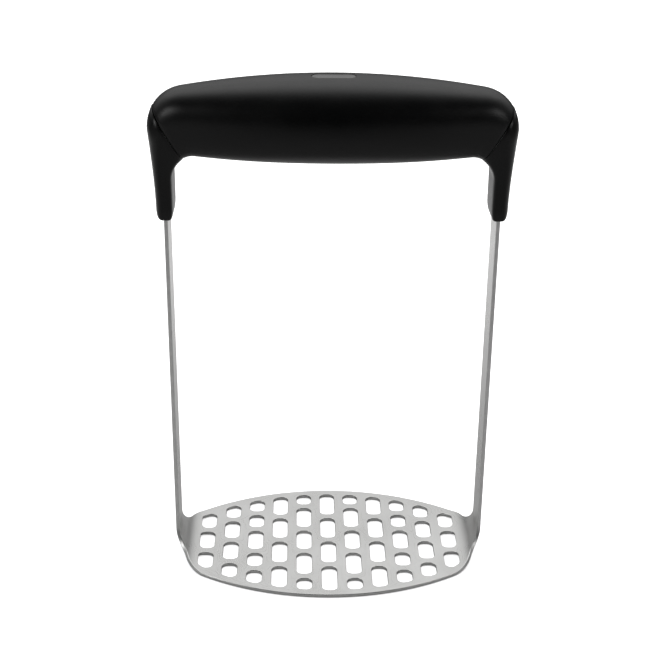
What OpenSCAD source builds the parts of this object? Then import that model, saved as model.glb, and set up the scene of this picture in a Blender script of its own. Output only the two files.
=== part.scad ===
// Potato masher: a one-piece perforated steel blade whose two legs rise into a loop handle.
// X runs along the handle, Y runs front to back, Z is up, and Z = 0 is the face it stands on.
// The handle is a soft grip over a rigid two-part core, with a rigid arm down to each leg.

/* [Overall size] */
// Width across the outside of the two steel legs
span_w = 124; // [96:1:156]
// Height from the resting face to the crest of the grip
overall_h = 196.5; // [150:1:250]

/* [Steel blade] */
// Thickness of the sheet
sheet_t = 1.5; // [1:0.1:2.5]
// Width of a leg, front to back
leg_w = 14; // [11:0.5:18]
// Greatest depth of the plate, front to back
plate_d = 78.6; // [62:1:96]
// Radius of the long front and back edges of the plate
edge_r = 94; // [80:1:140]
// Radius that rounds the plate's edge towards each leg
corner_r = 20.5; // [16:0.5:28]
// Radius of the hollow where the edge sweeps into a leg, in the flat sheet
root_r = 12.4; // [8:0.2:20]
// Outside radius of the bend between plate and leg
bend_r = 12; // [8:0.5:14]
// How far the rounded end would reach past the flat part of the plate
corner_reach = 9.4; // [6:0.1:12]

/* [Holes] */
// Steel left between two columns of holes
bar_w = 3.8; // [2.5:0.1:5]
// Steel left between two holes of one column
web_w = 3.4; // [2.5:0.1:5]
// Steel left between the end holes and the plate's edge
rim_w = 3.4; // [2.5:0.1:6]
// Distance from the outside of a leg to the centre line of the last column
end_land = 12; // [11:0.5:18]
// Corner radius of a hole
hole_r = 2.4; // [0.5:0.1:2.6]
// Number of columns on each side of the middle one
side_columns = 5; // [5]

/* [Grip] */
// Height of the grip at its middle
grip_h = 31.1; // [26:0.5:40]
// Depth of the grip at its middle, front to back
grip_d = 40; // [32:0.5:46]
// Soft rubber each side of the core, where the grip meets an arm
seam_wall = 1.6; // [1.4:0.1:4]
// Radius of the long arc along the crest
crest_r = 354; // [280:2:900]
// Radius of the long arc along the underside
belly_r = 541; // [400:1:900]
// Radius of each shoulder of the handle
shoulder_r = 14.4; // [12:0.2:18]

/* [Arms] */
// How far an arm stands out beyond its leg at the shoulder
arm_out = 5.35; // [4.5:0.05:8]
// Plastic between the leg and the arm's inner face
arm_wall = 2.1; // [1.2:0.1:3]
// Plastic in front of a leg and behind it, at the arm's lower end
arm_side = 1.2; // [0.8:0.1:3]
// How far an arm reaches below the grip's lowest point
arm_drop = 21.4; // [14:0.2:32]
// Radius of the corner inside the handle loop
inner_r = 8.2; // [5:0.2:10]
// Height of the rounded lower end of an arm
arm_tip = 4; // [2:0.5:6]
// How far an arm's lower end stands in from its widest point
foot_in = 2.25; // [1:0.05:3.5]
// How far in the arm's outside is pulled on the way up from there
knee_in = 2.6; // [0:0.1:3.5]
// Height above the lower end at which it is pulled in
knee_rise = 12; // [8:1:20]

/* [Core, tangs and screws] */
// How far the middle of the core lies below the middle of the grip
core_drop = 1.3; // [0:0.1:2]
// Distance from the outside of a leg to the end of the core
core_setback = 10; // [9:0.5:20]
// Width of the core, front to back
core_w = 17; // [14:0.5:18]
// Height of the two core halves together
core_h = 15.6; // [12:0.2:18]
// Width of the tang at the top of a leg
tang_w = 10; // [8:0.5:11]
// Plastic in front of the tang and behind it, in an arm's boss
boss_side = 1.5; // [1:0.1:2]
// How far a tang reaches inwards from the outside of its leg
tang_l = 32; // [28:1:40]
// Outside radius of the bend from leg to tang
tang_r = 6; // [4:0.5:8]
// Distance from that bend down to where the leg narrows
neck_drop = 8; // [4:0.5:12]
// Height of the boss that carries a tang from arm to core
boss_h = 10; // [6:0.5:11]
// How far a boss reaches into its arm, past the inner wall
boss_bite = 3.5; // [1:0.1:4]
// Shank diameter of a tang screw
screw_d = 2.8; // [2.2:0.1:3.2]
// Head diameter of a tang screw
screw_head_d = 5.6; // [4.5:0.1:6.5]
// Height of a screw head
screw_head_h = 2; // [1.5:0.1:2.5]
// Distance between the two screws of one tang
screw_gap = 9; // [8:0.5:10]
// Distance from the end of the core to the nearest screw
screw_inset = 6; // [4.5:0.5:8]
// Distance from the tip of a screw up from the underside of the core
screw_tip_gap = 2; // [1:0.5:4]
// Length, width and depth of the slots that cross in a screw head
recess = [3.2, 0.8, 1.7];

/* [Badge] */
// Length of the plain oval inlay on the crest
badge_l = 16; // [12:0.5:30]
// Width of the inlay
badge_w = 6; // [5:0.5:12]
// Thickness of the inlay
badge_t = 1.2; // [0.8:0.1:2]
// How far the inlay lies below the crest
badge_set = 0.1; // [0:0.05:0.5]

/* [Clearances] */
// Gap round a piece that sits in a pocket
fit_gap = 0.1; // [0.05:0.05:0.3]
// Width of the line between grip and arm, at the outside
seam_gap = 0.2; // [0.1:0.05:0.5]
// Extra width of a hole that a screw only passes through
screw_slack = 0.6; // [0.3:0.1:1]

/* [Hidden] */
$fn = 48;
overlap = 1;                              // how far the parts of one solid run into each other
corner_share = 0.45;                      // most that a hole's corner radius takes of its shortest side

// ---- steel blade: the sheet is drawn flat, then folded ----
leg_x = span_w / 2;                       // outside face of a leg
flat_x = leg_x - bend_r;                  // where the plate starts to bend
bend_len = (bend_r - sheet_t / 2) * PI / 2;
main_y = plate_d / 2 - edge_r;            // centre of a long edge arc
corner_x = flat_x + corner_reach - corner_r;
corner_y = main_y + sqrt(pow(edge_r - corner_r, 2) - corner_x * corner_x);
corner_from = corner_x * edge_r / (edge_r - corner_r);
root_y = leg_w / 2 + root_r;
root_run = sqrt(pow(corner_r + root_r, 2) - pow(root_y - corner_y, 2));
root_x = corner_x + root_run;             // the leg is straight beyond this
root_from = corner_x + root_run * corner_r / (corner_r + root_r);

// Half the width of the flat sheet at a distance s from its middle
function half_width(s) =
    s <= corner_from ? main_y + sqrt(edge_r * edge_r - s * s)
    : s <= root_from ? corner_y + sqrt(corner_r * corner_r - pow(s - corner_x, 2))
    : s < root_x ? root_y - sqrt(root_r * root_r - pow(root_x - s, 2))
    : leg_w / 2;

// Place in X and Z of the folded sheet at a distance s, t above its outer face
function folded(s, t) =
    s <= flat_x ? [s, t]
    : s >= flat_x + bend_len ? [leg_x - t, bend_r + s - flat_x - bend_len]
    : let (a = 90 * (s - flat_x) / bend_len)
      [flat_x + (bend_r - t) * sin(a), bend_r - (bend_r - t) * cos(a)];

// Where the shaped root of a leg has ended, along the sheet and as a height
root_s = max(root_x, flat_x + bend_len) + overlap;
root_z = folded(root_s, 0)[1];

// ---- holes ----
column_pitch = (leg_x - end_land) / side_columns;
hole_w = column_pitch - bar_w;
// Centres of the webs in one half of each column, as shares of the column's half length
web_shares = [[0, 0.505], [0.236, 0.743], [0, 0.534], [0.268, 0.671], [0, 0.588], [0.369]];

// Height of the edge, less the rim, measured square to the edge
function rim_line(s) =
    let (edge = half_width(s), slope = (half_width(s + 0.1) - half_width(s - 0.1)) / 0.2)
    edge - rim_w * sqrt(1 + slope * slope);

// A convex outline with every corner rounded
function rounded(pts, r) = [
    for (i = [0:len(pts) - 1])
        let (p = pts[i],
             a = pts[(i + len(pts) - 1) % len(pts)] - p,
             b = pts[(i + 1) % len(pts)] - p,
             ua = a / norm(a), ub = b / norm(b),
             half = acos(ua * ub) / 2,
             mid = (ua + ub) / norm(ua + ub),
             c = p + mid * r / sin(half),
             first = p + ua * r / tan(half) - c,
             from = atan2(first[1], first[0]),
             turn = 180 - 2 * half)
        for (k = [0:5]) c + r * [cos(from + turn * k / 5), sin(from + turn * k / 5)]
];

// Outline of the hole between two heights; the outermost hole follows the rim
function hole(x, low, high, outermost) =
    let (x1 = x - hole_w / 2, x2 = x + hole_w / 2,
         h1 = outermost ? min(rim_line(x1), high + rim_w) : high,
         h2 = outermost ? rim_line(x2) : high)
    rounded([[x1, low], [x2, low], [x2, h2], [x1, h1]],
            min(hole_r, corner_share * min(hole_w, h1 - low, h2 - low)));

module holes_2d() {
    for (k = [0:side_columns]) {
        x = k * column_pitch;
        reach = rim_line(x);
        webs = web_shares[k];
        spans = webs[0] == 0 ? webs : concat([-webs[0]], webs);
        for (i = [0:len(spans) - 1]) {
            last = i == len(spans) - 1;
            low = spans[i] * reach + web_w / 2;
            high = last ? reach : spans[i + 1] * reach - web_w / 2;
            for (side = k == 0 ? [1] : [1, -1])
                for (turn = low < 0 ? [1] : [1, -1])
                    scale([side, turn]) polygon(hole(x, low, high, last));
        }
    }
}

// ---- handle profile: an outer and an inner curve in X and Z ----
seam_d = core_w + 2 * seam_wall;          // depth of the handle at the seam
arm_d = leg_w + 2 * arm_side;             // depth of an arm at its lower end
out_x = leg_x + arm_out;                  // widest point of the handle
in_x = leg_x - sheet_t - arm_wall;        // inner face of an arm
shoulder_x = out_x - shoulder_r;
shoulder_top = acos(shoulder_x / (crest_r - shoulder_r));
shoulder_z = overall_h - crest_r + (crest_r - shoulder_r) * sin(shoulder_top);
inner_cx = in_x - inner_r;
belly_z = overall_h - grip_h;             // lowest point of the grip
arm_bottom = belly_z - arm_drop;
inner_cz = belly_z + belly_r - sqrt(belly_r * belly_r - inner_cx * inner_cx) - inner_r;
seam_out = 32;                            // where the seam meets each curve, in degrees
seam_in = 63;
shoulder_from = 0.85;                     // where an arm's outer curve joins the shoulder, 0 to 1
// How square a section is on its inner and its outer side: 2 is an ellipse
foot_square = [7, 3.2];
seam_square = [3.4, 2.4];
grip_square = 2.35;
// How much the rounded lower end of an arm takes off inside, outside, and front and back
tip_cut = [min(1, arm_wall / 2), 1.1, min(0.9, arm_side - 0.3)];

// Outer curve of an arm, from its lower end (0) to the seam (1)
function arm_outer(u) =
    let (t = u / shoulder_from, a = [out_x - foot_in, arm_bottom],
         b = [out_x - knee_in, arm_bottom + knee_rise], c = [out_x, shoulder_z])
    t < 1 ? a * pow(1 - t, 2) + b * 2 * t * (1 - t) + c * t * t
    : let (g = seam_out * (u - shoulder_from) / (1 - shoulder_from))
      [shoulder_x + shoulder_r * cos(g), shoulder_z + shoulder_r * sin(g)];

// Inner curve of an arm, over the same stretch
function arm_inner(u) =
    let (straight = inner_cz - arm_bottom, whole = straight + inner_r * seam_in * PI / 180,
         run = whole * u * (1 + 0.5 * (1 - u)))
    run < straight ? [in_x, arm_bottom + run]
    : let (g = (run - straight) / inner_r * 180 / PI)
      [inner_cx + inner_r * cos(g), inner_cz + inner_r * sin(g)];

// Outer curve of the grip, from the seam (0) to the middle of the handle (1)
function grip_outer(v) =
    let (arc = shoulder_r * (shoulder_top - seam_out) * PI / 180,
         top_x = shoulder_x + shoulder_r * cos(shoulder_top), run = v * (arc + top_x))
    run < arc
    ? let (g = seam_out + run / shoulder_r * 180 / PI)
      [shoulder_x + shoulder_r * cos(g), shoulder_z + shoulder_r * sin(g)]
    : let (x = top_x * (1 - (run - arc) / top_x))
      [x, overall_h - crest_r + sqrt(crest_r * crest_r - x * x)];

// Inner curve of the grip, over the same stretch
function grip_inner(v) =
    let (arc = inner_r * (90 - seam_in) * PI / 180, run = v * (arc + inner_cx))
    run < arc
    ? let (g = seam_in + run / inner_r * 180 / PI)
      [inner_cx + inner_r * cos(g), inner_cz + inner_r * sin(g)]
    : let (x = inner_cx - (run - arc))
      [x, belly_z + belly_r - sqrt(belly_r * belly_r - x * x)];

// One closed section between an inner point and an outer point.
// half_d is half its depth; n_in and n_out say how square each side is.
function section(inner, outer, half_d, n_in, n_out, sides = 32) = [
    for (i = [0:sides - 1])
        let (c = cos(360 * i / sides), s = sin(360 * i / sides),
             n = c > 0 ? n_out : n_in,
             w = sign(c) * pow(abs(c), 2 / n), y = sign(s) * pow(abs(s), 2 / n),
             p = inner + (outer - inner) * (w + 1) / 2)
        [p[0], half_d * y, p[1]]
];

// A closed solid through a list of sections; seen from the last one, each runs clockwise
module loft(rings) {
    n = len(rings[0]);
    last = len(rings) - 1;
    sides = [for (i = [0:last - 1]) for (j = [0:n - 1]) let (k = (j + 1) % n)
             each [[i * n + j, i * n + k, (i + 1) * n + k],
                   [i * n + j, (i + 1) * n + k, (i + 1) * n + j]]];
    low_end = [for (j = [1:n - 2]) [0, j + 1, j]];
    high_end = [for (j = [1:n - 2]) [last * n, last * n + j, last * n + j + 1]];
    polyhedron([for (r = rings) each r], concat(sides, low_end, high_end));
}

function blend(a, b, t) = a + (b - a) * t;

// How much of the rounded lower end is left at a height above it, from 1 to 0
function tip(z) = z >= arm_tip ? 0 : 1 - sqrt(1 - pow(1 - z / arm_tip, 2));

function arm_ring(u) =
    let (o = arm_outer(u), e = tip(o[1] - arm_bottom))
    section(arm_inner(u) + [tip_cut[0], 0] * e, o - [tip_cut[1], 0] * e,
            blend(arm_d, seam_d, u * u) / 2 - tip_cut[2] * e,
            blend(foot_square[0], seam_square[0], pow(u, 4)), blend(foot_square[1], seam_square[1], u));

function grip_ring(v) =
    let (swell = sin(90 * v))
    section(grip_inner(v), grip_outer(v), blend(seam_d, grip_d, swell) / 2,
            blend(seam_square[0], grip_square, swell), blend(seam_square[1], grip_square, swell));

function flipped(ring) = [for (p = ring) [-p[0], p[1], p[2]]];

module handle_arm() {
    stop = 1 - seam_gap / 40;
    loft([for (u = [stop, 0.96, 0.92, 0.87, 0.82, 0.76, 0.69, 0.62, 0.55, 0.46, 0.36, 0.26,
                    0.16, 0.085, 0.055, 0.03, 0.012, 0]) arm_ring(u)]);
}

// ---- tang, core and their pockets ----
core_z = overall_h - grip_h / 2 - core_drop;  // middle of the core: the joint of its halves
core_l = 2 * (leg_x - core_setback);
tang_end = leg_x - tang_l;                // from the middle of the handle
tang_top = core_z + sheet_t / 2;
neck_z = tang_top - tang_r - neck_drop;   // above this a leg narrows to its tang
boss_w = tang_w + 2 * boss_side;          // the arm's boss that carries the tang to the core
boss_end = in_x + arm_wall + boss_bite;
screw_x = [core_l / 2 - screw_inset - screw_gap, core_l / 2 - screw_inset];
screw_l = core_h - screw_tip_gap;

// Side view of the tang strip on the right: up the leg, round the bend and inwards
module tang_2d(gap = 0, from = 0) {
    cx = leg_x - tang_r;
    cz = tang_top - tang_r;
    translate([leg_x - sheet_t - gap, from]) square([sheet_t + 2 * gap, cz - from]);
    translate([tang_end - gap, tang_top - sheet_t - gap])
        square([cx - tang_end + gap, sheet_t + 2 * gap]);
    intersection() {
        translate([cx, cz]) difference() {
            circle(r = tang_r + gap);
            circle(r = tang_r - sheet_t - gap);
        }
        translate([cx, cz]) square(2 * tang_r);
    }
}

module tang(gap = 0) {
    rotate([90, 0, 0])
        linear_extrude(tang_w + 2 * gap, center = true) tang_2d(gap, neck_z - overlap);
}

module each_side() {
    children();
    mirror([1, 0, 0]) children();
}

module box_from(low, high) {
    translate(low) cube(high - low);
}

module screw_holes(d) {
    each_side() for (x = screw_x)
        translate([x, 0, core_z - core_h]) cylinder(d = d, h = 2 * core_h);
}

// Half of the flat plate's edge, from its middle to where the bend starts
plate_steps = 50;
plate_edge = [for (i = [0:plate_steps]) let (s = flat_x * i / plate_steps) [s, half_width(s)]];

// Folded root of the right leg, from just inside the flat plate to the straight strip
module leg_root() {
    steps = 24;
    stations = concat(plate_edge[plate_steps - 1][0],
                      [for (i = [0:steps]) blend(flat_x, root_s, i / steps)]);
    loft([for (s = stations)
        let (w = half_width(s), low = folded(s, 0), high = folded(s, sheet_t))
        [[low[0], w, low[1]], [low[0], -w, low[1]], [high[0], -w, high[1]], [high[0], w, high[1]]]]);
}

module plate() {
    linear_extrude(sheet_t) each_side()
        polygon(concat(plate_edge, [for (i = [plate_steps:-1:0]) [plate_edge[i][0], -plate_edge[i][1]]]));
}

module steel_blade() {
    color("silver") difference() {
        union() {
            plate();
            each_side() leg_root();
            each_side() box_from([leg_x - sheet_t, -leg_w / 2, root_z - overlap],
                                 [leg_x, leg_w / 2, neck_z]);
            each_side() tang();
        }
        translate([0, 0, -overlap]) linear_extrude(bend_r / 2) holes_2d();
        screw_holes(screw_d + screw_slack);
    }
}

module core_block(low, high) {
    box_from([-core_l / 2, -core_w / 2, low], [core_l / 2, core_w / 2, high]);
}

module core_lower() {
    color("dimgray") difference() {
        core_block(core_z - core_h / 2, core_z - fit_gap / 2);
        each_side() tang(fit_gap);
        screw_holes(screw_d + fit_gap);
    }
}

module core_upper() {
    color("dimgray") difference() {
        core_block(core_z + fit_gap / 2, core_z + core_h / 2);
        each_side() tang(fit_gap);
        screw_holes(screw_d + screw_slack);
        each_side() for (x = screw_x) translate([x, 0, core_z + core_h / 2 - screw_head_h - fit_gap])
            cylinder(d = screw_head_d + 2 * fit_gap, h = screw_head_h + overlap);
    }
}

module tang_screws() {
    color("gray") each_side() for (x = screw_x) translate([x, 0, core_z + core_h / 2]) difference() {
        union() {
            translate([0, 0, -screw_head_h]) cylinder(d = screw_head_d, h = screw_head_h);
            translate([0, 0, -screw_l]) cylinder(d = screw_d, h = screw_l - screw_head_h / 2);
        }
        for (turn = [0, 90]) rotate(turn)
            box_from([-recess[0] / 2, -recess[1] / 2, -recess[2]], [recess[0] / 2, recess[1] / 2, overlap]);
    }
}

module right_arm_solid() {
    difference() {
        union() {
            handle_arm();
            box_from([core_l / 2 + fit_gap, -boss_w / 2, core_z - core_h / 2],
                     [boss_end, boss_w / 2, core_z - core_h / 2 + boss_h]);
        }
        box_from([leg_x - sheet_t - fit_gap, -leg_w / 2 - fit_gap, arm_bottom - overlap],
                 [leg_x + fit_gap, leg_w / 2 + fit_gap, neck_z + fit_gap]);
        tang(fit_gap);
    }
}

module right_arm() {
    color("black") right_arm_solid();
}

module left_arm() {
    color("black") mirror([1, 0, 0]) right_arm_solid();
}

module oval(gap = 0) {
    for (side = [-1, 1]) translate([side * (badge_l - badge_w) / 2, 0]) circle(d = badge_w + 2 * gap);
    square([badge_l - badge_w, badge_w + 2 * gap], center = true);
}

badge_top = overall_h - badge_set;

module top_badge() {
    color([0.12, 0.12, 0.12]) translate([0, 0, badge_top - badge_t]) linear_extrude(badge_t) oval();
}

module grip_sleeve() {
    steps = 20;
    left_half = [for (i = [0:steps - 1]) flipped(grip_ring(i / steps))];
    right_half = [for (i = [steps:-1:0]) grip_ring(i / steps)];
    color([0.1, 0.1, 0.1]) difference() {
        loft(concat(left_half, right_half));
        core_block(core_z - core_h / 2 - fit_gap, core_z + core_h / 2 + fit_gap);
        each_side() box_from(
            [core_l / 2 - overlap, -boss_w / 2 - fit_gap, core_z - core_h / 2 - fit_gap],
            [boss_end + fit_gap, boss_w / 2 + fit_gap, core_z - core_h / 2 + boss_h + fit_gap]);
        translate([0, 0, badge_top - badge_t - fit_gap]) linear_extrude(2 * badge_t) oval(fit_gap);
    }
}

steel_blade();
core_lower();
core_upper();
tang_screws();
left_arm();
right_arm();
grip_sleeve();
top_badge();
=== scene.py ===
# %% [markdown]
# # A potato masher, finished in Blender
#
# The object is a hand masher: an oval steel plate full of holes, folded up at both ends into two
# flat legs, with a black handle bridging the legs. The CAD model already fixes every size. This
# lesson makes the surfaces: satin steel with rolled edges, hard black plastic arms and a soft grip.
#
# Everything is in metres, in the CAD model's own frame: X along the handle, Y front to back, Z up.
# The named sizes below are written in millimetres and multiplied by MM, because that is how a maker
# would give them.

# %% Load the frame and keep its box
import math

import bmesh
import bpy
from mathutils import Matrix, Vector


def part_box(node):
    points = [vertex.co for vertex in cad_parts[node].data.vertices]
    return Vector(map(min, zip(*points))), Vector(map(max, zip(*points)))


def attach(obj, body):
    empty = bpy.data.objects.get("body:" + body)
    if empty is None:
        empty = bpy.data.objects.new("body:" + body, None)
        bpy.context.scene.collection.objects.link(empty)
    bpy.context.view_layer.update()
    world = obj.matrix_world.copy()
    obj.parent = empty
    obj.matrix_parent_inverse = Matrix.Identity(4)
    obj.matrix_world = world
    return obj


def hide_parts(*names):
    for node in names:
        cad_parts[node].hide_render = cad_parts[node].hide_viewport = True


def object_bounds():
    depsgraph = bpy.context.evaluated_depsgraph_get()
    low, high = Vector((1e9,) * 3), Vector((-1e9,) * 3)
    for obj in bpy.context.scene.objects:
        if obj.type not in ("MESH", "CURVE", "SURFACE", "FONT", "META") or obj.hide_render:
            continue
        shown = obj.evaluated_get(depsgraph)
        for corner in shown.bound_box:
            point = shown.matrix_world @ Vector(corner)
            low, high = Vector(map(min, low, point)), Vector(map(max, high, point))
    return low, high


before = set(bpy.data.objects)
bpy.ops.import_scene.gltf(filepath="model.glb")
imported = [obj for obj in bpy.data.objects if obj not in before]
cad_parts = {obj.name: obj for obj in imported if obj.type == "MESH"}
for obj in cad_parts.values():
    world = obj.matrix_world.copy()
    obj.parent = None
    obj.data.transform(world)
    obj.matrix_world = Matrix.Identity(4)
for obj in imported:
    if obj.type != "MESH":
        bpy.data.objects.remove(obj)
MM = 0.001
cad_low, cad_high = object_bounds()
blade_low, blade_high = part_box("steel_blade")
grip_low, grip_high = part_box("grip_sleeve")
arm_low, arm_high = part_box("right_arm")
badge_low, badge_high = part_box("top_badge")
badge_set = 0.09 * MM            # how far the inlay lies below the crest
crest_z = badge_high.z + badge_set
print("CAD box in mm:", [round(v / MM, 1) for v in (cad_high - cad_low)])

# %% [markdown]
# ## The camera
#
# A catalogue camera looks slightly down on the handle, so the plate opens up into an oval. It could be
# aimed with a constraint, but three angles and a distance say the same thing in a form that is easy to
# read and to change. The lens is a fairly long one, which keeps the legs nearly parallel.

# %% Camera
aim_at = Vector((0.5 * MM, 0, 95.95 * MM))
camera_distance = 537 * MM
look_down, look_right, tilt = (math.radians(a) for a in (24.36, 1.6, 0.73))

forward = Vector((math.sin(look_right) * math.cos(look_down),
                  math.cos(look_right) * math.cos(look_down),
                  -math.sin(look_down)))
level_right = Vector((math.cos(look_right), -math.sin(look_right), 0))
level_up = level_right.cross(forward)
camera_right = level_right * math.cos(tilt) + level_up * math.sin(tilt)
camera_up = level_up * math.cos(tilt) - level_right * math.sin(tilt)

camera_data = bpy.data.cameras.new("camera")
camera_data.sensor_width = 36
camera_data.lens = 75.25
camera = bpy.data.objects.new("camera", camera_data)
turn = Matrix((camera_right, camera_up, -forward)).transposed().to_4x4()
camera.matrix_world = Matrix.Translation(aim_at - forward * camera_distance) @ turn
bpy.context.scene.collection.objects.link(camera)
bpy.context.scene.camera = camera
print("camera stands at", [round(v, 4) for v in camera.matrix_world.translation])

# %% [markdown]
# ## The steel blank
#
# The real blade starts as a flat strip of stainless sheet. A press punches the holes and the outline in
# one go, a tumbler rounds the cut edges, and a second press folds up the two legs. Modelling it the same
# way is the easiest: draw the flat blank with its holes, give it thickness, then fold it. The distance
# along the flat strip is called s in the code, and it runs through the bends and up the legs.

# %% Sizes of the blank
sheet = 1.5 * MM
leg_width = 14 * MM
bend_radius = 12 * MM            # outside of the bend
edge_radius = 94 * MM            # long front and back edges of the plate
corner_radius = 20.5 * MM        # where the edge turns towards a leg
root_radius = 12.4 * MM          # hollow sweep into the leg
corner_reach = 9.4 * MM

leg_x = blade_high.x             # outside face of a leg
plate_half = (blade_high.y - blade_low.y) / 2
flat_end = leg_x - bend_radius
bend_length = (bend_radius - sheet / 2) * math.pi / 2
edge_centre = plate_half - edge_radius
corner_x = flat_end + corner_reach - corner_radius
corner_y = edge_centre + math.sqrt((edge_radius - corner_radius) ** 2 - corner_x ** 2)
corner_from = corner_x * edge_radius / (edge_radius - corner_radius)
root_y = leg_width / 2 + root_radius
root_run = math.sqrt((corner_radius + root_radius) ** 2 - (root_y - corner_y) ** 2)
root_x = corner_x + root_run
root_from = corner_x + root_run * corner_radius / (corner_radius + root_radius)


def half_width(s):
    """Half the width of the flat strip at a distance s from its middle."""
    if s <= corner_from:
        return edge_centre + math.sqrt(edge_radius ** 2 - s * s)
    if s <= root_from:
        return corner_y + math.sqrt(corner_radius ** 2 - (s - corner_x) ** 2)
    if s < root_x:
        return root_y - math.sqrt(root_radius ** 2 - (root_x - s) ** 2)
    return leg_width / 2


print("half width at the middle, the bend and the leg, mm:",
      [round(half_width(s) / MM, 1) for s in (0, flat_end, root_x)])

# %% [markdown]
# ## Where the holes go
#
# Eleven columns stand side by side. Neighbouring columns have their webs out of step, like bricks, so the
# plate stays stiff. A column ends where the rim begins, and the rim keeps one width square to the plate's
# edge, so it is the slope of the edge that says how high a column may reach.

# %% Sizes of the holes
side_columns = 5
bar, web, rim, end_land = 3.8 * MM, 3.4 * MM, 3.4 * MM, 12 * MM
hole_corner = 2.4 * MM
pitch = (leg_x - end_land) / side_columns
hole_width = pitch - bar


def rim_line(s, step=0.1 * MM):
    """How high a hole may reach, so that the rim keeps its width square to the edge."""
    slope = (half_width(s + step) - half_width(s - step)) / (2 * step)
    return half_width(s) - rim * math.sqrt(1 + slope * slope)


print("columns stand", round(pitch / MM, 2), "mm apart; the middle one reaches",
      round(rim_line(0) / MM, 1), "mm")

# %% [markdown]
# ## Rounded corners
#
# A punch has rounded corners, because sharp ones would crack the sheet. Each corner becomes an arc that
# touches both sides. Its centre lies on the line that halves the corner, and that works for the leaning
# end holes of the outer columns too, where no corner is square.

# %% Rounded outline
def rounded(corners, radius, steps=7):
    """A convex outline, counter-clockwise, with its corners turned into arcs."""
    points = []
    for i, p in enumerate(corners):
        a = (corners[i - 1] - p).normalized()
        b = (corners[(i + 1) % len(corners)] - p).normalized()
        half = a.angle(b) / 2
        centre = p + (a + b).normalized() * radius / math.sin(half)
        start = p + a * radius / math.tan(half) - centre
        for k in range(steps + 1):
            turn_by = (math.pi - 2 * half) * k / steps
            c, n = math.cos(turn_by), math.sin(turn_by)
            points.append(centre + Vector((start.x * c - start.y * n, start.x * n + start.y * c)))
    return points


square = [Vector(p) for p in ((0, 0), (pitch, 0), (pitch, pitch), (0, pitch))]
print("a rounded square has", len(rounded(square, hole_corner)), "points")

# %% [markdown]
# ## Punching pattern
#
# The list gives each column's webs as shares of the column's half length, from the middle column outwards.
# A share of 0 is a web in the middle of the column. Every hole is worked out once and mirrored to the
# other three quarters of the plate, so the same few numbers place all the holes.

# %% Hole outlines
web_shares = [(0, 0.505), (0.236, 0.743), (0, 0.534), (0.268, 0.671), (0, 0.588), (0.369,)]


def hole_outlines():
    outlines = []
    for column in range(side_columns + 1):
        x, reach = column * pitch, rim_line(column * pitch)
        webs = web_shares[column]
        webs = list(webs) if webs[0] == 0 else [-webs[0], *webs]
        for i, share in enumerate(webs):
            last = i == len(webs) - 1
            low = share * reach + web / 2
            high = reach if last else webs[i + 1] * reach - web / 2
            x1, x2 = x - hole_width / 2, x + hole_width / 2
            high1 = min(rim_line(abs(x1)), high + rim) if last else high
            high2 = rim_line(x2) if last else high
            corners = [Vector(p) for p in ((x1, low), (x2, low), (x2, high2), (x1, high1))]
            shape = rounded(corners, hole_corner)
            for flip_x in (1,) if column == 0 else (1, -1):
                for flip_y in (1,) if low < 0 else (1, -1):
                    outlines.append([(p.x * flip_x, p.y * flip_y) for p in shape])
    return outlines


holes = hole_outlines()
print(len(holes), "holes, each", round(hole_width / MM, 2), "mm wide")

# %% [markdown]
# ## Legs and tangs
#
# Above the bends the strip runs up as two straight legs. At its top each leg narrows to a tang, which bends
# inwards and is clamped between the two halves of the handle's core. Nobody sees the tangs, but they are
# part of the same sheet, and the length of the legs follows from where the tangs lie.

# %% Sizes of the legs and tangs
handle_half, core_drop = 15.55 * MM, 1.3 * MM    # the tangs lie a little below the handle's middle
core_z = crest_z - handle_half - core_drop
tang_radius, tang_length, tang_width = 6 * MM, 32 * MM, 10 * MM
neck_below, neck_run = 8 * MM, 1 * MM            # where a leg narrows to its tang
leg_straight = core_z + sheet / 2 - tang_radius - bend_radius
bend2_from = flat_end + bend_length + leg_straight
bend2_length = (tang_radius - sheet / 2) * math.pi / 2
strip_end = bend2_from + bend2_length + tang_length - tang_radius
neck = bend2_from - neck_below

print("legs stand straight for", round(leg_straight / MM, 1), "mm, and the strip is",
      round(2 * strip_end / MM), "mm long")

# %% [markdown]
# ## Blank to solid
#
# A filled 2D curve takes the outline and all the holes at once, and its bevel rolls every cut edge, as
# tumbling does. Booleans would do it too, but they leave sharp edges that then need bevels of their own.
# The curve is turned into a mesh and cut across at close steps where the bends and the leg roots will be,
# so that the fold has something to bend.

# %% Flat blank as a mesh
edge_roll = 0.28 * MM            # how far the tumbler has rounded the edges
outline_steps = 150


def strip_outline():
    """A quarter of the outline, from the middle of the back edge to the end of the right tang."""
    along = [root_x * k / outline_steps for k in range(outline_steps + 1)]
    tip = [(neck, leg_width / 2), (neck + neck_run, tang_width / 2), (strip_end, tang_width / 2)]
    return [(s, half_width(s)) for s in along] + tip


def add_loop(curve, points):
    spline = curve.splines.new("POLY")
    spline.points.add(len(points) - 1)
    for target, (x, y) in zip(spline.points, points):
        target.co = (x, y, 0, 1)
    spline.use_cyclic_u = True


def flat_blank():
    curve = bpy.data.curves.new("blank", "CURVE")
    curve.dimensions = "2D"
    curve.fill_mode = "BOTH"
    curve.bevel_depth = edge_roll
    curve.bevel_resolution = 2
    curve.offset = -edge_roll
    curve.extrude = sheet / 2 - edge_roll
    quarter = strip_outline()
    back = quarter[::-1] + [(-x, y) for x, y in quarter[1:]]
    add_loop(curve, back + [(x, -y) for x, y in back[::-1]])
    for outline in holes:
        add_loop(curve, outline)
    maker = bpy.data.objects.new("blank", curve)
    bpy.context.scene.collection.objects.link(maker)
    depsgraph = bpy.context.evaluated_depsgraph_get()
    mesh = bpy.data.meshes.new_from_object(maker.evaluated_get(depsgraph))
    bpy.data.objects.remove(maker)
    mesh.name = "steel_blade_visual"
    return mesh


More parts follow.
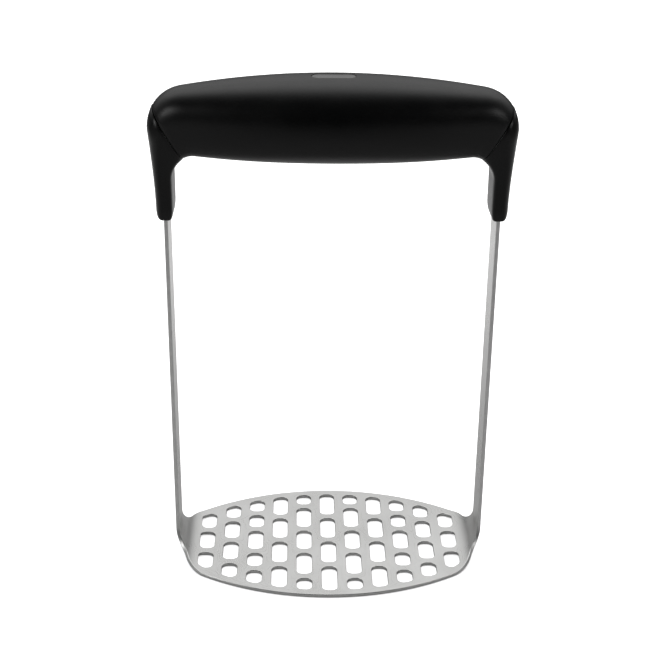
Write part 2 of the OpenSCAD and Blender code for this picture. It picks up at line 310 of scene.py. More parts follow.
blank = flat_blank()
print("blank:", len(blank.vertices), "points, thickness",
      round((max(v.co.z for v in blank.vertices) - min(v.co.z for v in blank.vertices)) / MM, 2), "mm")

# %% [markdown]
# ## Folding
#
# A press folds the blank round a former. Here the fold takes each point's distance along the strip and
# rolls it round the bend. A Simple Deform modifier bends too, but it bends the whole piece evenly, while
# this strip is flat, bent, flat and bent again, which one short function says exactly.

# %% Where the fold puts a point
def cut_across(bm, places):
    """Slices the mesh at these distances from the middle, on both sides."""
    for s in places:
        for side in (1, -1):
            everything = bm.verts[:] + bm.edges[:] + bm.faces[:]
            bmesh.ops.bisect_plane(bm, geom=everything, dist=1e-7,
                                   plane_co=(side * s, 0, 0), plane_no=(1, 0, 0))


def folded(s, t):
    """Place and slope of the folded strip, t being the height above its outer face."""
    up_from = flat_end + bend_length
    if s <= flat_end:
        return s, t, 0.0
    if s <= up_from:
        a = (s - flat_end) / (bend_radius - sheet / 2)
        return flat_end + (bend_radius - t) * math.sin(a), bend_radius - (bend_radius - t) * math.cos(a), a
    if s <= bend2_from:
        return leg_x - t, bend_radius + s - up_from, math.pi / 2
    a = min((s - bend2_from) / (tang_radius - sheet / 2), math.pi / 2)
    past = max(0, s - bend2_from - bend2_length)
    radius = tang_radius - t
    x = leg_x - tang_radius + radius * math.cos(a) - past
    return x, bend_radius + leg_straight + radius * math.sin(a), math.pi / 2 + a


tang_end = folded(strip_end, 0)
print("the tangs end at x, z in mm:", [round(v / MM, 1) for v in tang_end[:2]])

# %% [markdown]
# ## Normals that survive the fold
#
# Shading shows every small error of a normal on polished metal. So the normals are worked out on the flat
# blank, where they are exact, and each is given the same turn as its point. That way the big flat faces
# stay perfectly flat to the eye, and the bends shine like smooth cylinders.

# %% Normals of the flat blank
def flat_normals(bm):
    """Exact up or down where a point touches a flat face, and an average round the rolled edges."""
    bm.normal_update()
    found = {}
    for v in bm.verts:
        total = Vector((0, 0, 0))
        flat = [f for f in v.link_faces if abs(f.normal.z) > 0.999]
        for f in flat or v.link_faces:
            total += f.normal * f.calc_area()
        found[v] = total.normalized()
    return found


measured = bmesh.new()
measured.from_mesh(blank)
level = sum(abs(n.z) > 0.999 for n in flat_normals(measured).values())
measured.free()
print(level, "of", len(blank.vertices), "normals point straight up or down")

# %% [markdown]
# ## Folding the blank
#
# Now the pieces come together. The bends are cut across first, finely enough for a smooth curve. Then each
# point moves to its folded place. Two things are noted on the way, while the blank is still flat and they
# are easy to tell: where each point lay along the strip, which the brushed grain needs later, and which
# faces are walls left by the punch, which get a finish of their own.

# %% Fold the blank
bend_cuts, root_cuts, tang_cuts = 30, 8, 10
root_spacing = 0.8 * MM
wall_tilt = 0.5                  # faces steeper than this in the flat blank are its punched walls


def fold_blank(mesh):
    bm = bmesh.new()
    bm.from_mesh(mesh)
    bmesh.ops.remove_doubles(bm, verts=bm.verts, dist=1e-7)
    bend = [flat_end + bend_length * k / bend_cuts for k in range(bend_cuts + 1)]
    root = [flat_end + bend_length + root_spacing * (k + 1) for k in range(root_cuts)]
    tang = [bend2_from + bend2_length * k / tang_cuts for k in range(tang_cuts + 1)]
    cut_across(bm, bend + root + tang)
    normals = flat_normals(bm)
    punched = {f for f in bm.faces if abs(f.normal.z) < wall_tilt}
    uv = bm.loops.layers.uv.new("strip")
    turned = []
    for v in bm.verts:
        v.index = len(turned)
        side = 1 if v.co.x >= 0 else -1
        x, z, a = folded(abs(v.co.x), v.co.z + sheet / 2)
        n = normals[v]
        along, up = n.x * side, n.z
        turned.append((side * (along * math.cos(a) - up * math.sin(a)), n.y,
                       along * math.sin(a) + up * math.cos(a)))
        for corner in v.link_loops:
            corner[uv].uv = (v.co.x, v.co.y)
        v.co.x, v.co.z = side * x, z
    for f in bm.faces:
        f.smooth = True
        f.material_index = 1 if f in punched else 0
    bm.to_mesh(mesh)
    bm.free()
    mesh.normals_split_custom_set_from_vertices(turned)
    return mesh


blade = bpy.data.objects.new("steel_blade_visual", fold_blank(blank))
bpy.context.scene.collection.objects.link(blade)
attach(blade, "root")
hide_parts("steel_blade")
print("folded blade:", len(blade.data.vertices), "points, height",
      round(max(v.co.z for v in blade.data.vertices) / MM, 1), "mm")

# %% [markdown]
# ## The handle's shape
#
# The handle is one smooth form that the maker has split in three: a soft grip in the middle and a hard arm
# at each end. Two curves describe it from the front, one round the outside and one round the inside of
# the loop. Lines and arcs are enough for both, because that is how a toolmaker would draw them: a long
# shallow crest and belly, a round shoulder, and a small round corner inside. Sculpting or a subdivided
# cage wouldn't hold such an outline.

# %% Sizes of the handle
crest_radius, belly_radius = 354 * MM, 541 * MM
shoulder, inside_corner = 14.4 * MM, 8.2 * MM
grip_depth = grip_high.y - grip_low.y
seam_depth, arm_depth = 20.2 * MM, 16.4 * MM
belly_z = grip_low.z
arm_bottom = arm_low.z
out_x = arm_high.x
inside_wall = 2.1 * MM           # plastic between a leg and the hand
in_x = leg_x - sheet - inside_wall
seam_out, seam_in = math.radians(32), math.radians(63)

shoulder_x = out_x - shoulder
shoulder_top = math.acos(shoulder_x / (crest_radius - shoulder))
shoulder_z = crest_z - crest_radius + (crest_radius - shoulder) * math.sin(shoulder_top)
inner_x = in_x - inside_corner
inner_z = belly_z + belly_radius - math.sqrt(belly_radius ** 2 - inner_x ** 2) - inside_corner
print("shoulder centre at x, z in mm:", round(shoulder_x / MM, 1), round(shoulder_z / MM, 1))

# %% [markdown]
# ## Curves of an arm
#
# An arm starts narrow at its lower end, swells out slowly to the shoulder and turns over it to the seam. The
# slow swell is a quadratic Bezier of three points, which is the simplest curve with a waist, and the
# shoulder is a true arc. The inner curve is a straight line with an arc at its top. Its points run a
# little ahead of the outer ones, so that the sections fan out to meet the slanting seam.

# %% Outer and inner curve of an arm
shoulder_from = 0.85             # share of the outer curve that lies below the shoulder
foot_in, knee_in, knee_up = 2.25 * MM, 2.6 * MM, 12 * MM
inner_lead = 0.5


def on_circle(cx, cz, radius, angle):
    return Vector((cx + radius * math.cos(angle), cz + radius * math.sin(angle)))


def arm_outer(u):
    """Outer curve of an arm, from its lower end (0) to the seam (1)."""
    t = u / shoulder_from
    if t >= 1:
        turned = seam_out * (u - shoulder_from) / (1 - shoulder_from)
        return on_circle(shoulder_x, shoulder_z, shoulder, turned)
    foot = Vector((out_x - foot_in, arm_bottom))
    knee = Vector((out_x - knee_in, arm_bottom + knee_up))
    top = Vector((out_x, shoulder_z))
    return foot * (1 - t) ** 2 + knee * 2 * t * (1 - t) + top * t * t


def arm_inner(u):
    """Inner curve of an arm, from its lower end (0) to the seam (1)."""
    straight = inner_z - arm_bottom
    run = (straight + inside_corner * seam_in) * u * (1 + inner_lead * (1 - u))
    if run < straight:
        return Vector((in_x, arm_bottom + run))
    return on_circle(inner_x, inner_z, inside_corner, (run - straight) / inside_corner)


print("an arm is", round((arm_outer(0).x - arm_inner(0).x) / MM, 1), "mm wide at its foot and",
      round((arm_outer(1) - arm_inner(1)).length / MM, 1), "mm along the seam")

# %% [markdown]
# ## Curves of the grip
#
# The grip goes on where the arms stop, so its curves start at the same two points of the seam. Each runs
# round the rest of its corner and then along a very large circle to the middle of the handle. Sharing the
# corner circles with the arms keeps the handle's outline smooth across the seam.

# %% Outer and inner curve of the grip
def grip_outer(v):
    """Outer curve of the grip, from the seam (0) to the middle of the handle (1)."""
    arc = shoulder * (shoulder_top - seam_out)
    top_x = shoulder_x + shoulder * math.cos(shoulder_top)
    run = v * (arc + top_x)
    if run < arc:
        return on_circle(shoulder_x, shoulder_z, shoulder, seam_out + run / shoulder)
    x = top_x - (run - arc)
    return Vector((x, crest_z - crest_radius + math.sqrt(crest_radius ** 2 - x * x)))


def grip_inner(v):
    """Inner curve of the grip, from the seam (0) to the middle of the handle (1)."""
    arc = inside_corner * (math.pi / 2 - seam_in)
    run = v * (arc + inner_x)
    if run < arc:
        return on_circle(inner_x, inner_z, inside_corner, seam_in + run / inside_corner)
    x = inner_x - (run - arc)
    return Vector((x, belly_z + belly_radius - math.sqrt(belly_radius ** 2 - x * x)))


print("crest to belly in mm:", round((grip_outer(1).y - grip_inner(1).y) / MM, 2))

# %% [markdown]
# ## Sections between the curves
#
# A section of the grip is nearly round, to suit a closed hand, and an arm is boxier, with a flat inner
# side. A superellipse covers both: one number takes it from an ellipse (2) towards a rectangle (7 or
# more). Each section uses one such number for its inner side and one for its outer side.

# %% Section ring
SIDES = 96


def blend(a, b, t):
    return a + (b - a) * t


def power(value, exponent):
    return math.copysign(abs(value) ** exponent, value)


def section(inner, outer, half_depth, square_in, square_out):
    """A closed ring between two points of the curves; a higher square value gives a squarer side."""
    ring = []
    for i in range(SIDES):
        c, s = math.cos(math.tau * i / SIDES), math.sin(math.tau * i / SIDES)
        n = square_out if c > 0 else square_in
        p = inner + (outer - inner) * (power(c, 2 / n) + 1) / 2
        ring.append(Vector((p.x, half_depth * power(s, 2 / n), p.y)))
    return ring


round_ring, square_ring = (section(Vector((0, 0)), Vector((2, 0)), 1, n, n) for n in (2, 7))
print("halfway to a corner, a round ring reaches", round(round_ring[SIDES // 8].y, 2),
      "and a square one", round(square_ring[SIDES // 8].y, 2))

# %% [markdown]
# ## Rings of the arms and the grip
#
# The squareness and the depth are blended on the way from an arm's foot to the middle of the grip. An arm
# keeps its flat inner side for most of its length and only turns round close to the seam, so that blend is
# a fourth power. At the foot, the ring shrinks along a quarter circle, which rounds the arm's lower end.

# %% Rings
foot_square, seam_square, grip_square = (7, 3.2), (3.4, 2.4), 2.35     # (inner side, outer side)
arm_tip = 4 * MM                 # height of the rounding at an arm's lower end
tip_in, tip_out, tip_side = 1 * MM, 1.1 * MM, 0.9 * MM


def arm_ring(u):
    outer, inner = arm_outer(u), arm_inner(u)
    rise = min(max((outer.y - arm_bottom) / arm_tip, 0), 1)
    tip = 1 - math.sqrt(1 - (1 - rise) ** 2)
    inner.x += tip_in * tip
    outer.x -= tip_out * tip
    depth = blend(arm_depth, seam_depth, u * u) / 2 - tip_side * tip
    return section(inner, outer, depth, blend(foot_square[0], seam_square[0], u ** 4),
                   blend(foot_square[1], seam_square[1], u * u))


def grip_ring(v):
    swell = math.sin(math.pi / 2 * v)
    return section(grip_inner(v), grip_outer(v), blend(seam_depth, grip_depth, swell) / 2,
                   blend(seam_square[0], grip_square, swell), blend(seam_square[1], grip_square, swell))


print("a ring has", len(grip_ring(0)), "points; at the seam it is",
      round(max(p.y for p in grip_ring(0)) * 2 / MM, 1), "mm deep")

# %% [markdown]
# ## Skinning the rings, with a soft lip at each seam
#
# Where two mouldings meet, both edges are slightly round, and the eye reads the pair of lips as a thin
# dark line. So each end of a piece gets a few extra rings that roll inwards before the end is closed. A
# painted line would look flat beside it.

# %% Lips
lip = 0.3 * MM


def rolled_end(ring, outwards, radius=lip, steps=4):
    """Rings that turn the piece's edge inwards, from a ring lying on its end plane."""
    middle = sum(ring, Vector((0, 0, 0))) / len(ring)
    rings = []
    for k in range(steps + 1):
        a = math.pi / 2 * k / steps
        back = outwards * (-radius * (1 - math.sin(a)))
        rings.append([p + back + (middle - p).normalized() * radius * (1 - math.cos(a)) for p in ring])
    return rings


print("a lip of", round(lip / MM, 2), "mm takes", len(rolled_end(grip_ring(0), Vector((1, 0, 0)))), "rings")

# %% [markdown]
# ## Skin over the rings
#
# Joining the rings by hand, ring to ring, keeps every face a neat four-sided one, which shades without
# ripples. Blender can bridge edge loops as well, but it would choose the partners of the points itself. The
# skin rides on the body named root, as every piece of a rigid tool does.

# %% Skin
cap_inset = 0.25                 # a narrow border round each end cap keeps the shading off it


def skin(name, rings):
    """A closed mesh through the rings, with a flat cap at each end."""
    bm = bmesh.new()
    rows = [[bm.verts.new(p) for p in ring] for ring in rings]
    for a, b in zip(rows, rows[1:]):
        for i in range(SIDES):
            j = (i + 1) % SIDES
            bm.faces.new((a[i], a[j], b[j], b[i])).smooth = True
    for row in (rows[0], rows[-1]):
        middle = sum((v.co for v in row), Vector()) / SIDES
        inset = [bm.verts.new(blend(v.co, middle, cap_inset)) for v in row]
        for i in range(SIDES):
            j = (i + 1) % SIDES
            bm.faces.new((row[i], row[j], inset[j], inset[i]))
        bm.faces.new(inset)
    bmesh.ops.recalc_face_normals(bm, faces=bm.faces)
    mesh = bpy.data.meshes.new(name)
    bm.to_mesh(mesh)
    bm.free()
    piece = bpy.data.objects.new(name, mesh)
    bpy.context.scene.collection.objects.link(piece)
    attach(piece, "root")
    return piece


def mirrored(rings):
    return [[Vector((-p.x, p.y, p.z)) for p in ring] for ring in rings]


print("a skin joins", SIDES, "points of one ring to", SIDES, "of the next")

# %% [markdown]
# ## The soft grip
#
# The grip is a rubber sleeve moulded over the hidden core, deepest in the middle where the palm presses. It
# is skinned as one piece from the right seam to the left. Only the right half is worked out, and the left
# half is its mirror image, so the two can't differ. The rings crowd towards the seams, where the shoulder
# turns fastest.

# %% Skin the grip
crowding = 1.15                  # above 1, the rings crowd towards the seam
seam_line = (grip_outer(0) - grip_inner(0)).normalized()
seam_normal = Vector((seam_line.y, 0, -seam_line.x))      # from the grip towards the right arm
print("the seam leans", round(math.degrees(math.atan2(seam_line.y, seam_line.x)), 1), "degrees from level")

grip_steps = 60
right_side = rolled_end(grip_ring(0), seam_normal)[::-1]
right_side += [grip_ring((k / grip_steps) ** crowding) for k in range(1, grip_steps)]
grip = skin("grip_sleeve_visual", right_side + [grip_ring(1)] + mirrored(right_side)[::-1])
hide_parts("grip_sleeve")
print("grip_sleeve_visual", len(grip.data.vertices), "points")

# %% [markdown]
# ## The two hard arms
#
# An arm is a hard cap that closes over the top of a leg. It stops a hair short of the grip, and that gap
# with the two lips beside it is the seam. Its lower end is rounded over, so the first rings lie close
# together there. The left arm is the right one's mirror image.

# %% Skin the arms
seam_gap = 0.2 * MM
arm_run = 40 * MM                # length of an arm's curve, near enough to place the gap
arm_steps = [0, 0.008, 0.02, 0.035, 0.055, 0.08, 0.11, 0.15] + [0.2 + 0.03 * k for k in range(26)]
seam_u = 1 - seam_gap / arm_run
arm_rings = [arm_ring(u) for u in arm_steps] + rolled_end(arm_ring(seam_u), -seam_normal)
for name, node, rings in (("right_arm_visual", "right_arm", arm_rings),
                          ("left_arm_visual", "left_arm", mirrored(arm_rings))):
    arm = skin(name, rings)
    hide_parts(node)
    print(name, len(arm.data.vertices), "points")

# %% [markdown]
# ## Ovals for the inlay
#
# A small plain oval of firmer rubber sits in a shallow pocket in the crest of the grip, with a hair of
# clearance round it. The pocket and the inlay are the same outline at two sizes, so one function draws
# both. It is a stadium: two half circles joined by straight lines, which is the shape a cutter leaves.

# %% Oval outlines and closed rows
badge_length, badge_width = badge_high.x - badge_low.x, badge_high.y - badge_low.y
badge_thickness = badge_high.z - badge_low.z
badge_gap = 0.1 * MM
OVAL_SIDES = 64


def oval(inset):
    """A stadium outline, this far inside the inlay's own edge; a negative inset is outside it."""
    straight = (badge_length - badge_width) / 2
    radius = badge_width / 2 - inset
    outline = []
    for i in range(OVAL_SIDES):
        angle = math.tau * (i + 0.5) / OVAL_SIDES
        end = math.copysign(straight, math.cos(angle))
        outline.append((end + radius * math.cos(angle), radius * math.sin(angle)))
    return outline


def close_rows(name, rows):
    """A closed mesh through rows of points, with the first and last row filled in."""
    bm = bmesh.new()
    rows = [[bm.verts.new(p) for p in row] for row in rows]
    bm.faces.new(rows[0])
    bm.faces.new(rows[-1])
    for a, b in zip(rows, rows[1:]):
        for i in range(len(a)):
            j = (i + 1) % len(a)
            bm.faces.new((a[j], a[i], b[i], b[j])).smooth = True
    bmesh.ops.recalc_face_normals(bm, faces=bm.faces)
    mesh = bpy.data.meshes.new(name)
    bm.to_mesh(mesh)
    bm.free()
    piece = bpy.data.objects.new(name, mesh)
    bpy.context.scene.collection.objects.link(piece)
    return piece


print("an oval has", len(oval(0)), "points, and the pocket is", round((badge_width + 2 * badge_gap) / MM, 1),
      "mm wide")

# %% [markdown]
# ## Pocket in the crest
#
# This is the one place where a Boolean is the simplest tool. The cut goes through a smooth skin, and its
# sharp rim is what the real moulding has. The result is kept as a plain mesh, and only the rim and the
# pocket's own corners are marked sharp, so the grip round it stays smooth.

# %% Cut the pocket
rim_angle = math.radians(40)     # edges that turn by more than this stay sharp


def cut_pocket(piece, cutter):
    cut = piece.modifiers.new("pocket", "BOOLEAN")
    cut.operation = "DIFFERENCE"
    cut.solver = "EXACT"
    cut.object = cutter
    depsgraph = bpy.context.evaluated_depsgraph_get()
    mesh = bpy.data.meshes.new_from_object(piece.evaluated_get(depsgraph))
    piece.modifiers.remove(cut)
    piece.data = mesh
    mesh.set_sharp_from_angle(angle=rim_angle)
    bpy.data.objects.remove(cutter)


pocket_floor = badge_low.z - badge_gap
cutter_rows = [[(x, y, z) for x, y in oval(-badge_gap)]
               for z in (pocket_floor, crest_z + badge_thickness)]
before = len(grip.data.polygons)
cut_pocket(grip, close_rows("cutter", cutter_rows))
print("the pocket took the grip from", before, "to", len(grip.data.polygons), "faces")

# %% [markdown]
# ## Inlay
#
# The inlay must follow the crest's curve, or its ends would stand proud of the grip. So it is drawn as a
# nest of ovals, and each point is dropped onto the crest before the whole is lowered by a hair. The last
# few ovals turn down in a quarter circle, which gives it the soft edge of a moulded piece.

# %% Make the inlay
def crest_height(x, y):
    """Height of the grip's skin above a point near the middle of the crest."""
    along = crest_z - crest_radius + math.sqrt(crest_radius ** 2 - x * x)
    half_height = (grip_outer(1).y - grip_inner(1).y) / 2
    across = (1 - (abs(y) / (grip_depth / 2)) ** grip_square) ** (1 / grip_square)
    return along - half_height * (1 - across)


def inlay_row(inset, drop):
    return [(x, y, crest_height(x, y) - badge_set - drop) for x, y in oval(inset)]


roll, roll_steps = 0.3 * MM, 4   # the inlay's own rounded edge
nest = (0.85, 0.6, 0.4, 0.2)     # how far in each flat oval lies, as shares of the half width
turns = [math.pi / 2 * k / roll_steps for k in range(roll_steps + 1)]
inlay_rows = [inlay_row(badge_width / 2 * share, 0) for share in nest]
inlay_rows += [inlay_row(roll * (1 - math.sin(a)), roll * (1 - math.cos(a))) for a in turns]
inlay_rows.append([(x, y, badge_low.z) for x, y in oval(0)])

badge = close_rows("top_badge_visual", inlay_rows)
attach(badge, "root")
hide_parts("top_badge")
print("inlay is", round(badge_length / MM, 1), "by", round(badge_width / MM, 1), "mm")

# %% [markdown]
# ## Building finishes from nodes
#
# Every finish here starts from Blender's Principled shader. Numbers that are the same all over a piece are
# set on the shader itself. Only what varies over the surface, such as grain, mottling and tiny dents, is
# made from noise. The noise is scaled in real units, so 2000 per metre means a grain half a millimetre
# wide. Noise is better here than a tiled pattern, because it never repeats over the piece.

# %% Helpers: a finish and its noise
def new_finish(name, **values):
    """A material, its node tree and its shader, with constant values set on the shader's own sockets."""
    finish = bpy.data.materials.new(name)
    finish.use_nodes = True
    shader = finish.node_tree.nodes["Principled BSDF"]
    for socket, value in values.items():
        shader.inputs[socket.replace("_", " ")].default_value = value
    return finish, finish.node_tree, shader


def noise(tree, vector, scale, stretch=(1, 1, 1), detail=3, rough=0.5):
    """Noise between 0 and 1 at so many grains per metre; stretch squeezes it along each axis."""
    mapping = tree.nodes.new("ShaderNodeMapping")
    mapping.inputs["Scale"].default_value = [scale * k for k in stretch]
    tree.links.new(vector, mapping.inputs["Vector"])
    texture = tree.nodes.new("ShaderNodeTexNoise")
    texture.inputs["Scale"].default_value = 1
    texture.inputs["Detail"].default_value = detail
    texture.inputs["Roughness"].default_value = rough
    tree.links.new(mapping.outputs["Vector"], texture.inputs["Vector"])
    return texture.outputs["Fac"]


def ramp(tree, value, start, end, low, high, kind="LINEAR"):
    """Takes a value that runs from start to end to one that runs from low to high."""
    node = tree.nodes.new("ShaderNodeMapRange")
    node.interpolation_type = kind
    for socket, number in (("From Min", start), ("From Max", end), ("To Min", low), ("To Max", high)):
        node.inputs[socket].default_value = number
    tree.links.new(value, node.inputs["Value"])
    return node.outputs["Result"]


def spread(tree, value, low, high):
    """Takes noise, which mostly lies between 0.3 and 0.7, to a range of its own."""
    return ramp(tree, value, 0.3, 0.7, low, high)


print("helpers for noise: a grain of 2000 per metre is", 1000 / 2000, "mm wide")

# %% [markdown]
# ## Mixing the values
#
# A finish needs a few more steps between the noise and the shader: a colour between a dark and a light one,
# a weighted sum of two noises, and a bump. The bump's distance is the real depth of the dents, so a
# scratch of 8 micrometres is written as one.

# %% Helpers: colours, sums and dents
def tint(tree, value, dark, light):
    """A colour between two, by a value from 0 to 1."""
    mix = tree.nodes.new("ShaderNodeMix")
    mix.data_type = "RGBA"
    mix.inputs["A"].default_value, mix.inputs["B"].default_value = (*dark, 1), (*light, 1)
    tree.links.new(value, mix.inputs["Factor"])
    return mix.outputs["Result"]


def combine(tree, operation, a, b):
    node = tree.nodes.new("ShaderNodeMath")
    node.operation = operation
    for socket, value in zip(node.inputs, (a, b)):
        if isinstance(value, (int, float)):
            socket.default_value = value
        else:
            tree.links.new(value, socket)
    return node.outputs["Value"]


def mixed(tree, a, b, share):
    """This share of the first value, and the rest of the second."""
    first = combine(tree, "MULTIPLY", a, share)
    return combine(tree, "ADD", first, combine(tree, "MULTIPLY", b, 1 - share))


def dents(tree, shader, height, depth, strength):
    """Bump of a real depth in metres."""
    bump = tree.nodes.new("ShaderNodeBump")
    bump.inputs["Distance"].default_value = depth
    bump.inputs["Strength"].default_value = strength
    tree.links.new(height, bump.inputs["Height"])
    tree.links.new(bump.outputs["Normal"], shader.inputs["Normal"])


def place(tree, kind="Object"):
    return tree.nodes.new("ShaderNodeTexCoord").outputs[kind]


print("plain materials that came with the CAD model:", len(bpy.data.materials))

# %% [markdown]
# ## Satin steel
#
# The sheet is brushed along its length before it is stamped, and the grain follows it round the bends. The
# strip coordinates saved in the blank's UV map still run straight along the unfolded sheet, so noise
# stretched in them gives grain that bends with the metal. Fine scratches move the roughness and a very
# shallow bump, and a broad cloud keeps the big plate from looking printed. A little anisotropy pulls the
# highlights out across the grain.

# %% Brushed face of the sheet
def brushed_steel():
    finish, tree, shader = new_finish("brushed_steel", Metallic=1.0, Anisotropic=0.45)
    strip = place(tree, "UV")
    body = place(tree)
    hair = noise(tree, strip, 1, (90, 5200, 1), detail=4, rough=0.62)
    streak = noise(tree, strip, 1, (14, 700, 1), detail=3)
    cloud = noise(tree, body, 34, detail=2)
    grain = mixed(tree, hair, streak, 0.6)
    shade = spread(tree, mixed(tree, grain, cloud, 0.55), 0, 1)
    colour = tint(tree, shade, (0.53, 0.53, 0.52), (0.70, 0.70, 0.692))
    tree.links.new(colour, shader.inputs["Base Color"])
    gloss = combine(tree, "ADD", spread(tree, grain, 0.22, 0.37), spread(tree, cloud, -0.03, 0.04))
    tree.links.new(gloss, shader.inputs["Roughness"])
    dents(tree, shader, hair, 0.008 * MM, 0.7)
    tangent = tree.nodes.new("ShaderNodeTangent")
    tangent.direction_type = "UV_MAP"
    tangent.uv_map = "strip"
    tree.links.new(tangent.outputs["Tangent"], shader.inputs["Tangent"])
    return finish


steel = brushed_steel()
print("steel has", len(steel.node_tree.nodes), "nodes")

# %% [markdown]
# ## Punched edges
#
# A punch leaves the cut wall of the sheet duller and darker than its face: a bright band where the tool
# slid in, then a torn, matt band. It is the dark lining round each hole that makes the plate look like
# metal of a real thickness. The walls get a material of their own, chosen by which way each face pointed
# in the flat blank.

# %% Punched walls of the sheet
def punched_steel():
    finish, tree, shader = new_finish("punched_steel", Metallic=1.0)
    body = place(tree)
    tear = noise(tree, body, 2600, (1, 1, 0.25), detail=4, rough=0.7)
    patch = noise(tree, body, 260, detail=2)
    shade = spread(tree, mixed(tree, tear, patch, 0.5), 0, 1)
    colour = tint(tree, shade, (0.60, 0.60, 0.595), (0.80, 0.80, 0.79))
    tree.links.new(colour, shader.inputs["Base Color"])
    tree.links.new(spread(tree, tear, 0.34, 0.5), shader.inputs["Roughness"])
    dents(tree, shader, tear, 0.02 * MM, 0.5)
    return finish


blade.data.materials.append(steel)
blade.data.materials.append(punched_steel())
walls = sum(face.material_index for face in blade.data.polygons)
print("punched faces:", walls, "of", len(blade.data.polygons))

# %% [markdown]
# ## Black rubber and black plastic
#
# Both are nearly black, so colour can't tell them apart, and gloss has to. The grip is a soft rubber
# moulded in a sand-blasted tool: silky, with a bloom of fine grain. The arms are hard plastic with a
# tighter sheen, so their edges catch a crisp line of light. A pure black would look like a hole in the
# picture; real blacks still return a little light.

# %% Rubber and plastic
def moulded(name, dark, light, roughness, grain_scale, grain_depth, mottle=90, **values):
    """Moulded rubber or plastic: fine grain in bump and gloss, with slow mottling in colour and gloss."""
    finish, tree, shader = new_finish(name, **values)
    body = place(tree)
    grain = noise(tree, body, grain_scale, detail=3, rough=0.6)
    slow = noise(tree, body, mottle, detail=3)
    tree.links.new(tint(tree, spread(tree, slow, 0, 1), dark, light), shader.inputs["Base Color"])
    gloss = combine(tree, "ADD", spread(tree, grain, *roughness), spread(tree, slow, -0.02, 0.02))
    tree.links.new(gloss, shader.inputs["Roughness"])
    dents(tree, shader, grain, grain_depth, 0.5)
    return finish


rubber = moulded("grip_rubber", (0.0018, 0.0018, 0.0019), (0.0030, 0.0030, 0.0031), (0.32, 0.40), 2200,
                 0.05 * MM, Specular_IOR_Level=0.27)
plastic = moulded("arm_plastic", (0.0020, 0.0020, 0.0021), (0.0030, 0.0030, 0.0030), (0.27, 0.34), 2800,
                  0.025 * MM, Specular_IOR_Level=0.27)
inlay = moulded("badge_rubber", (0.040, 0.040, 0.040), (0.055, 0.055, 0.055), (0.20, 0.26), 3000,
                0.01 * MM, Specular_IOR_Level=0.60)
for name, finish in (("grip_sleeve_visual", rubber), ("top_badge_visual", inlay),
                     ("right_arm_visual", plastic), ("left_arm_visual", plastic)):
    bpy.data.objects[name].data.materials.append(finish)
    print(name, "has", finish.name)

# %% [markdown]
# ## The parts inside
#
# The two halves of the core and the four screws are closed in under the grip. Their CAD shapes are right as
# they are, so they stay, and only their finish is made here: a plain matt moulding that nobody polishes,
# and zinc-plated steel with a blotchy sheen. A part that is seen only when the handle is taken apart still
# deserves a finish of its own.

# %% Finish of the core and the screws
core = moulded("core_plastic", (0.05, 0.05, 0.052), (0.075, 0.075, 0.077), (0.45, 0.55), 1800, 0.03 * MM)
screws = moulded("screw_steel", (0.42, 0.42, 0.43), (0.55, 0.55, 0.54), (0.25, 0.38), 1500, 0.01 * MM,
                 mottle=700, Metallic=1.0)


def dress(node, finish):
    """Gives a CAD piece that stays as it is a finish in place of its plain one."""
    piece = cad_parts[node]
    for own in piece.material_slots:
        own.material = finish
    if not piece.material_slots:
        piece.data.materials.append(finish)


for node, finish in (("core_lower", core), ("core_upper", core), ("tang_screws", screws)):
    dress(node, finish)
    print(node, "has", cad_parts[node].material_slots[0].name)

# %% [markdown]
# ## The table
#
# The masher stands on a plain pale table in a white studio. White all round would bleach the steel and grey
# the black grip, so a product studio keeps the space in front of the object dim and lights it from above
# and behind. The table's colour paints that shade here. It is white to the camera. In what reflects it, its
# colour is painted shade: a grey patch, dimmer in front of the object than behind and beside it, that fades
# out with distance.

# %% Table finish, with painted shade in reflections
def table_finish_and_painted_shade():
    finish, tree, shader = new_finish("pale_table", Roughness=0.9, Specular_IOR_Level=0.2)
    spot = place(tree)
    away = tree.nodes.new("ShaderNodeVectorMath")
    away.operation = "LENGTH"
    tree.links.new(spot, away.inputs[0])
    axes = tree.nodes.new("ShaderNodeSeparateXYZ")
    tree.links.new(spot, axes.inputs["Vector"])
    sideways = combine(tree, "ABSOLUTE", axes.outputs["X"], 0)
    # Painted shade: seen in reflections, the table's colour is darker in front of and close round the object
    # and grows darker with distance. It stands for the studio's shade, not for the table's own tone.
    fade = ramp(tree, away.outputs["Value"], 0.35, 1.2, 0.75, 0.10)
    behind = ramp(tree, axes.outputs["Y"], 0.02, 0.42, 0.48, 1, "SMOOTHSTEP")
    beside = ramp(tree, sideways, 0.24, 0.5, 0.48, 1, "SMOOTHSTEP")
    painted_shade = combine(tree, "MULTIPLY", fade, combine(tree, "MAXIMUM", behind, beside))
    seen = tree.nodes.new("ShaderNodeLightPath").outputs["Is Camera Ray"]
    albedo = combine(tree, "MAXIMUM", painted_shade, combine(tree, "MULTIPLY", seen, 0.9))
    tree.links.new(tint(tree, albedo, (0, 0, 0), (1, 1, 1)), shader.inputs["Base Color"])
    shader.inputs["Emission Color"].default_value = (1, 1, 1, 1)
    tree.links.new(combine(tree, "MULTIPLY", seen, 0.6), shader.inputs["Emission Strength"])
    return finish


pale_table = table_finish_and_painted_shade()
print("table finish has", len(pale_table.node_tree.nodes), "nodes")

# %% [markdown]
# ## Laying the table
#
# One large square is enough for a table top. It lies a tenth of a millimetre below the plate, so that the
# two faces don't flicker where they would touch, and it is named floor, because it isn't part of the
# object.

# %% Table
table_reach, table_drop = 6.0, 0.1 * MM
table_mesh = bpy.data.meshes.new("floor")
table_corners = [(x * table_reach, y * table_reach, 0) for x, y in ((-1, -1), (1, -1), (1, 1), (-1, 1))]
table_mesh.from_pydata(table_corners, [], [(0, 1, 2, 3)])
table_mesh.materials.append(pale_table)
table = bpy.data.objects.new("floor", table_mesh)
table.location.z = cad_low.z - table_drop
bpy.context.scene.collection.objects.link(table)
print("table lies at", round(table.location.z / MM, 2), "mm")

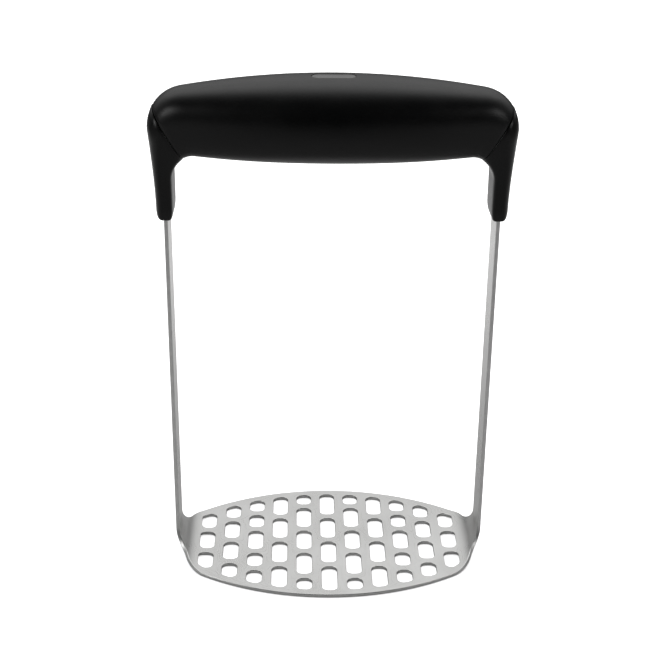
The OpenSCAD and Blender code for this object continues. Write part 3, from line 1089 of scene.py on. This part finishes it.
# %% [markdown]
# ## Softboxes
#
# Three area lights do the shaping. A wide one hangs above and behind, and draws the long soft highlight along
# the crest. Two small ones stand in front at each side, and put the short glints on the shoulders. Area
# lights are used because a point light would give hard round spots on satin steel.

# %% Softboxes
def softbox(name, location, target, width, height, watts):
    light = bpy.data.lights.new(name, "AREA")
    light.shape = "RECTANGLE"
    light.size, light.size_y, light.energy = width, height, watts
    box = bpy.data.objects.new(name, light)
    box.location = location
    box.rotation_euler = (Vector(target) - Vector(location)).to_track_quat("-Z", "Y").to_euler()
    bpy.context.scene.collection.objects.link(box)
    print("softbox", name, "of", watts, "W")


softbox("overhead", (0, 0.68, 1.2), (0, 0.4, 0), 2.2, 0.8, 5.2)
softbox("left", (-0.97, -0.55, 0.6), (0, 0, 0.18), 0.32, 0.38, 2.6)
softbox("right", (0.97, -0.55, 0.6), (0, 0, 0.18), 0.32, 0.38, 1.5)

# %% [markdown]
# ## An even dome
#
# The softboxes alone would leave the table grey at its far end. A sun lamp with a very wide angle works as
# an even dome over everything. It is hidden from reflections, or the steel would mirror a white sky.

# %% Dome
dome_light = bpy.data.lights.new("dome", "SUN")
dome_light.angle = math.radians(120)
dome_light.energy = 1.8
dome = bpy.data.objects.new("dome", dome_light)
dome.rotation_euler = (math.radians(-20), 0, 0)
dome.visible_glossy = False
bpy.context.scene.collection.objects.link(dome)
print("dome spans", round(math.degrees(dome_light.angle)), "degrees")

# %% [markdown]
# ## Studio walls
#
# Satin metal shows its surroundings more than its lights, so the walls matter. The world stands in for them.
# The camera sees it white. A reflection sees it bright behind the object, dark at the horizon and dark in
# front, which gives the legs a bright inner side and keeps the handle black.

# %% Walls
def build_studio():
    world = bpy.data.worlds.new("studio")
    world.use_nodes = True
    tree = world.node_tree
    direction = tree.nodes.new("ShaderNodeSeparateXYZ")
    tree.links.new(place(tree, "Generated"), direction.inputs["Vector"])
    behind = ramp(tree, direction.outputs["Y"], -0.25, 0.6, 0.02, 0.88, "SMOOTHSTEP")
    above = ramp(tree, direction.outputs["Z"], 0.0, 0.45, 0.06, 1.0, "SMOOTHSTEP")
    seen = tree.nodes.new("ShaderNodeLightPath").outputs["Is Camera Ray"]
    level = combine(tree, "MAXIMUM", combine(tree, "MULTIPLY", behind, above), seen)
    background = tree.nodes["Background"]
    background.inputs["Color"].default_value = (1, 1, 1, 1)
    tree.links.new(level, background.inputs["Strength"])
    return world


bpy.context.scene.world = build_studio()
bpy.context.scene.view_settings.view_transform = "Standard"
